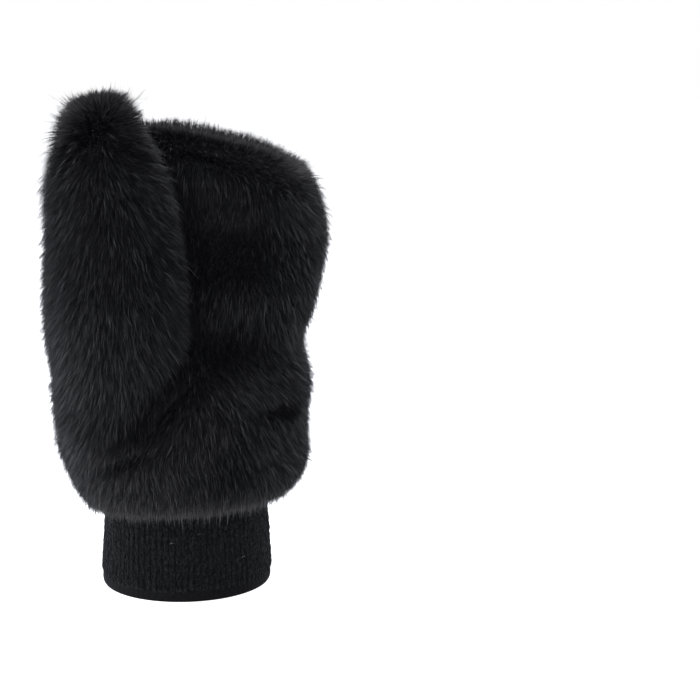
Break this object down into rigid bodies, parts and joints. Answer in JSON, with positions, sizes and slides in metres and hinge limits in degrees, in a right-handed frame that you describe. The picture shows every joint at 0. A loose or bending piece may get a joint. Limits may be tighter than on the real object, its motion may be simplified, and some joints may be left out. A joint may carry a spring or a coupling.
{
  "type": "fingerless faux fur glove",
  "caption": "Black faux fur glove for the left hand, open at the fingers and thumb, with deep pile over a cloth sleeve and a rib-knitted wrist cuff.",
  "frame": {"origin": "middle of the wrist opening, at the level of the cuff's lower edge", "axes": "+Z runs from the wrist to the fingers, -Y is the palm side, -X is the thumb side"},
  "size_m": [0.0997, 0.1005, 0.1814],
  "materials": {
    "backing_cloth": "matte",
    "fur_pile": "satin",
    "rib_knit": "matte"
  },
  "bodies": {
    "root": {"hand_backing": "backing_cloth", "hand_fur": "fur_pile", "thumb_backing": "backing_cloth", "thumb_fur": "fur_pile", "rib_cuff": "rib_knit"}
  },
  "joints": []
}
